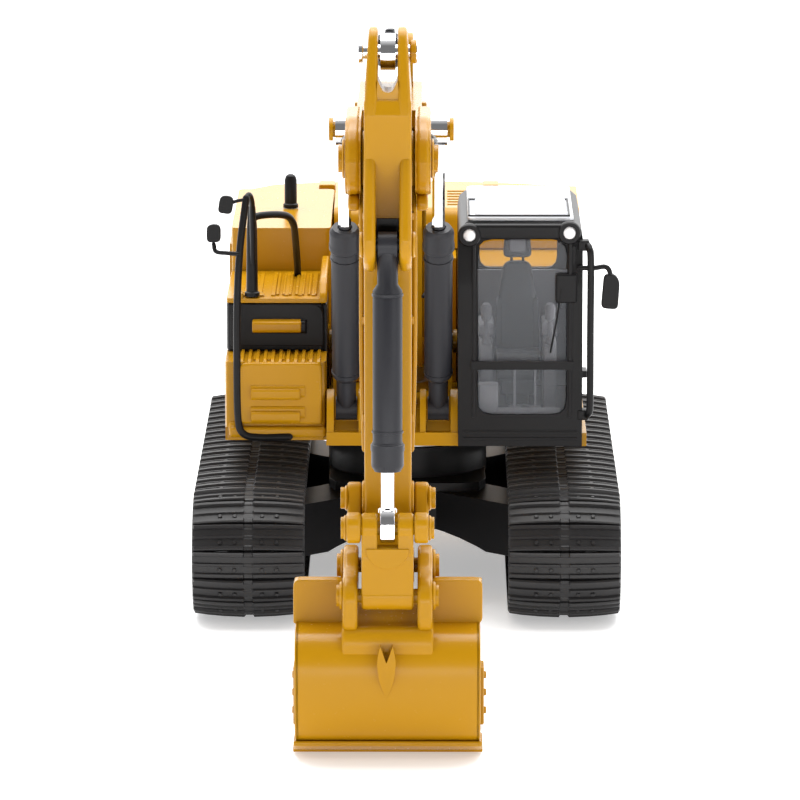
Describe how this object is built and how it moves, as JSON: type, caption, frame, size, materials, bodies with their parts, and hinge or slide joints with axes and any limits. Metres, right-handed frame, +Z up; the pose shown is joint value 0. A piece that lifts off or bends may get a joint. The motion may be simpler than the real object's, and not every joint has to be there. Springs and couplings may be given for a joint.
{
  "type": "rc excavator",
  "caption": "Tracked excavator scale model with a slewing upper body, cab, hydraulic-look cylinders and an articulated boom, stick and digging bucket.",
  "frame": {"origin": "centre of the bounding box, on the ground under the tracks", "axes": "+Z up, -Y the way the boom points at rest, +X to the left of the machine, where the cab is"},
  "size_m": [0.1432, 0.4354, 0.2233],
  "materials": {
    "yellow_paint": "semi-gloss yellow enamel with a fine orange peel",
    "black_satin": "satin black moulding",
    "track_black": "dark grey moulded track shoes, slightly shiny on the ridges",
    "barrel_grey": "satin dark grey lacquer",
    "chrome": "polished",
    "gear_steel": "turned",
    "brass_gear": "cut",
    "motor_can": "drawn can",
    "battery_wrap": "shrink film",
    "circuit_board": "lacquered board",
    "switch_knob": "moulded",
    "clear_pane": "clear moulded pane",
    "seat_grey": "fine-grained dark grey",
    "trim_grey": "grained mid grey",
    "lamp_white": "clear lens over white"
  },
  "bodies": {
    "chassis": {"undercarriage_frame": "black_satin", "slew_ring_gear": "gear_steel", "track_frame_right": "black_satin", "track_frame_left": "black_satin", "track_belt_right": "track_black", "track_belt_left": "track_black", "travel_motor_right": "black_satin", "travel_motor_left": "black_satin"},
    "sprocket_right": {"drive_sprocket_right": "black_satin"},
    "sprocket_left": {"drive_sprocket_left": "black_satin"},
    "idler_right": {"front_idler_right": "black_satin"},
    "idler_left": {"front_idler_left": "black_satin"},
    "upper": {"revolving_frame": "yellow_paint", "counterweight": "yellow_paint", "slew_motor": "motor_can", "step_box": "yellow_paint", "fuel_tank": "black_satin", "tank_top_tread": "yellow_paint", "right_housing": "yellow_paint", "left_housing": "yellow_paint", "battery_bay": "yellow_paint", "exhaust_stack": "black_satin", "step_handrail": "black_satin", "tank_guard_rail": "black_satin", "battery_pack": "battery_wrap", "control_board": "circuit_board", "cab_frame": "black_satin", "windshield": "clear_pane", "roof_hatch": "clear_pane", "operator_seat": "seat_grey", "operator_console": "trim_grey", "cab_grab_rail": "black_satin", "work_light_right": "lamp_white", "work_light_left": "lamp_white", "pin_boom_foot": "yellow_paint"},
    "pinion": {"slew_pinion": "brass_gear"},
    "hood": {"engine_hood": "yellow_paint"},
    "door": {"cab_door": "black_satin"},
    "switch": {"power_switch": "switch_knob"},
    "boom_arm": {"boom": "yellow_paint", "pin_boom_rods": "yellow_paint", "pin_stick_pivot": "yellow_paint"},
    "boom_rods": {"boom_cylinder_rod_right": "chrome", "boom_cylinder_rod_left": "chrome"},
    "boom_barrels": {"boom_cylinder_barrel_right": "barrel_grey", "boom_cylinder_barrel_left": "barrel_grey"},
    "stick_arm": {"stick": "yellow_paint", "pin_stick_rod": "chrome", "pin_idler_links": "yellow_paint"},
    "stick_rod": {"stick_cylinder_rod": "chrome"},
    "stick_barrel": {"stick_cylinder_barrel": "barrel_grey"},
    "idler_links": {"idler_link_right": "yellow_paint", "idler_link_left": "yellow_paint", "pin_link_top": "yellow_paint"},
    "push_link": {"power_link": "yellow_paint"},
    "bucket_rod": {"bucket_cylinder_rod": "chrome"},
    "bucket_barrel": {"bucket_cylinder_barrel": "barrel_grey"},
    "bucket_shell": {"bucket": "yellow_paint", "pin_link_low": "yellow_paint", "pin_bucket": "yellow_paint"}
  },
  "joints": [
    {"name": "slew", "type": "hinge", "parent": "chassis", "child": "upper", "pos_m": [0, 0.0717, 0.055], "axis": [0, 0, 1], "continuous": true},
    {"name": "slew_pinion_spin", "type": "hinge", "parent": "upper", "child": "pinion", "pos_m": [0, 0.0861, 0.05], "axis": [0, 0, 1], "continuous": true},
    {"name": "idler_right_spin", "type": "hinge", "parent": "chassis", "child": "idler_right", "pos_m": [-0.05285, -0.0113, 0.0223], "axis": [1, 0, 0], "continuous": true},
    {"name": "sprocket_right_spin", "type": "hinge", "parent": "chassis", "child": "sprocket_right", "pos_m": [-0.05285, 0.1547, 0.0223], "axis": [1, 0, 0], "continuous": true},
    {"name": "idler_left_spin", "type": "hinge", "parent": "chassis", "child": "idler_left", "pos_m": [0.05285, -0.0113, 0.0223], "axis": [1, 0, 0], "continuous": true},
    {"name": "sprocket_left_spin", "type": "hinge", "parent": "chassis", "child": "sprocket_left", "pos_m": [0.05285, 0.1547, 0.0223], "axis": [1, 0, 0], "continuous": true},
    {"name": "cab_door_hinge", "type": "hinge", "parent": "upper", "child": "door", "pos_m": [0.0592, 0.0627, 0.0625], "axis": [0, 0, 1], "range_deg": [0, 110]},
    {"name": "engine_hood_hinge", "type": "hinge", "parent": "upper", "child": "hood", "pos_m": [0, 0.1137, 0.1046], "axis": [1, 0, 0], "range_deg": [0, 60]},
    {"name": "power_switch_slide", "type": "slide", "parent": "upper", "child": "switch", "axis": [0, 1, 0], "range_m": [0, 0.003]},
    {"name": "boom_lift", "type": "hinge", "parent": "upper", "child": "boom_arm", "pos_m": [-0.005, 0.0667, 0.08], "axis": [-1, 0, 0], "range_deg": [-20, 30]},
    {"name": "boom_rod_swing", "type": "hinge", "parent": "boom_arm", "child": "boom_rods", "pos_m": [-0.005, -0.0273, 0.1683], "axis": [-1, 0, 0], "range_deg": [-2, 2]},
    {"name": "boom_cylinder_stroke", "type": "slide", "parent": "boom_rods", "child": "boom_barrels", "axis": [0, 0.3951, -0.9186], "range_m": [-0.018, 0.0265]},
    {"name": "stick_swing", "type": "hinge", "parent": "boom_arm", "child": "stick_arm", "pos_m": [-0.005, -0.1803, 0.182], "axis": [1, 0, 0], "range_deg": [-40, 35]},
    {"name": "stick_rod_swing", "type": "hinge", "parent": "stick_arm", "child": "stick_rod", "pos_m": [-0.005, -0.1833, 0.2153], "axis": [1, 0, 0], "range_deg": [-34, 39]},
    {"name": "stick_cylinder_stroke", "type": "slide", "parent": "stick_rod", "child": "stick_barrel", "axis": [0, 0.9919, -0.1271], "range_m": [-0.022, 0.0195]},
    {"name": "bucket_curl", "type": "hinge", "parent": "stick_arm", "child": "bucket_shell", "pos_m": [-0.005, -0.1843, 0.0561], "axis": [1, 0, 0], "range_deg": [-30, 45]},
    {"name": "idler_link_swing", "type": "hinge", "parent": "stick_arm", "child": "idler_links", "pos_m": [-0.005, -0.1843, 0.0772], "axis": [1, 0, 0], "range_deg": [-31, 46]},
    {"name": "power_link_swing", "type": "hinge", "parent": "idler_links", "child": "push_link", "pos_m": [-0.005, -0.2079, 0.0729], "axis": [1, 0, 0], "range_deg": [-46, 31]},
    {"name": "bucket_rod_swing", "type": "hinge", "parent": "idler_links", "child": "bucket_rod", "pos_m": [-0.005, -0.2079, 0.0729], "axis": [1, 0, 0], "range_deg": [-42, 28]},
    {"name": "bucket_cylinder_stroke", "type": "slide", "parent": "bucket_rod", "child": "bucket_barrel", "axis": [0, 0.0532, 0.9986], "range_m": [-0.0112, 0.0165]}
  ],
  "couplings": [
    {"joint": "slew_pinion_spin", "follows": "slew", "ratio": -4},
    {"joint": "sprocket_right_spin", "follows": "idler_right_spin", "ratio": 1},
    {"joint": "sprocket_left_spin", "follows": "idler_left_spin", "ratio": 1},
    {"joint": "boom_rod_swing", "follows": "boom_lift", "ratio": 0.0133},
    {"joint": "boom_cylinder_stroke", "follows": "boom_lift", "m_per_rad": 0.048995},
    {"joint": "stick_rod_swing", "follows": "stick_swing", "ratio": -0.9599},
    {"joint": "stick_cylinder_stroke", "follows": "stick_swing", "m_per_rad": 0.030762},
    {"joint": "idler_link_swing", "follows": "bucket_curl", "ratio": 1},
    {"joint": "power_link_swing", "follows": "bucket_curl", "ratio": -1},
    {"joint": "bucket_rod_swing", "follows": "bucket_curl", "ratio": -0.9152},
    {"joint": "bucket_cylinder_stroke", "follows": "bucket_curl", "m_per_rad": 0.020453}
  ]
}
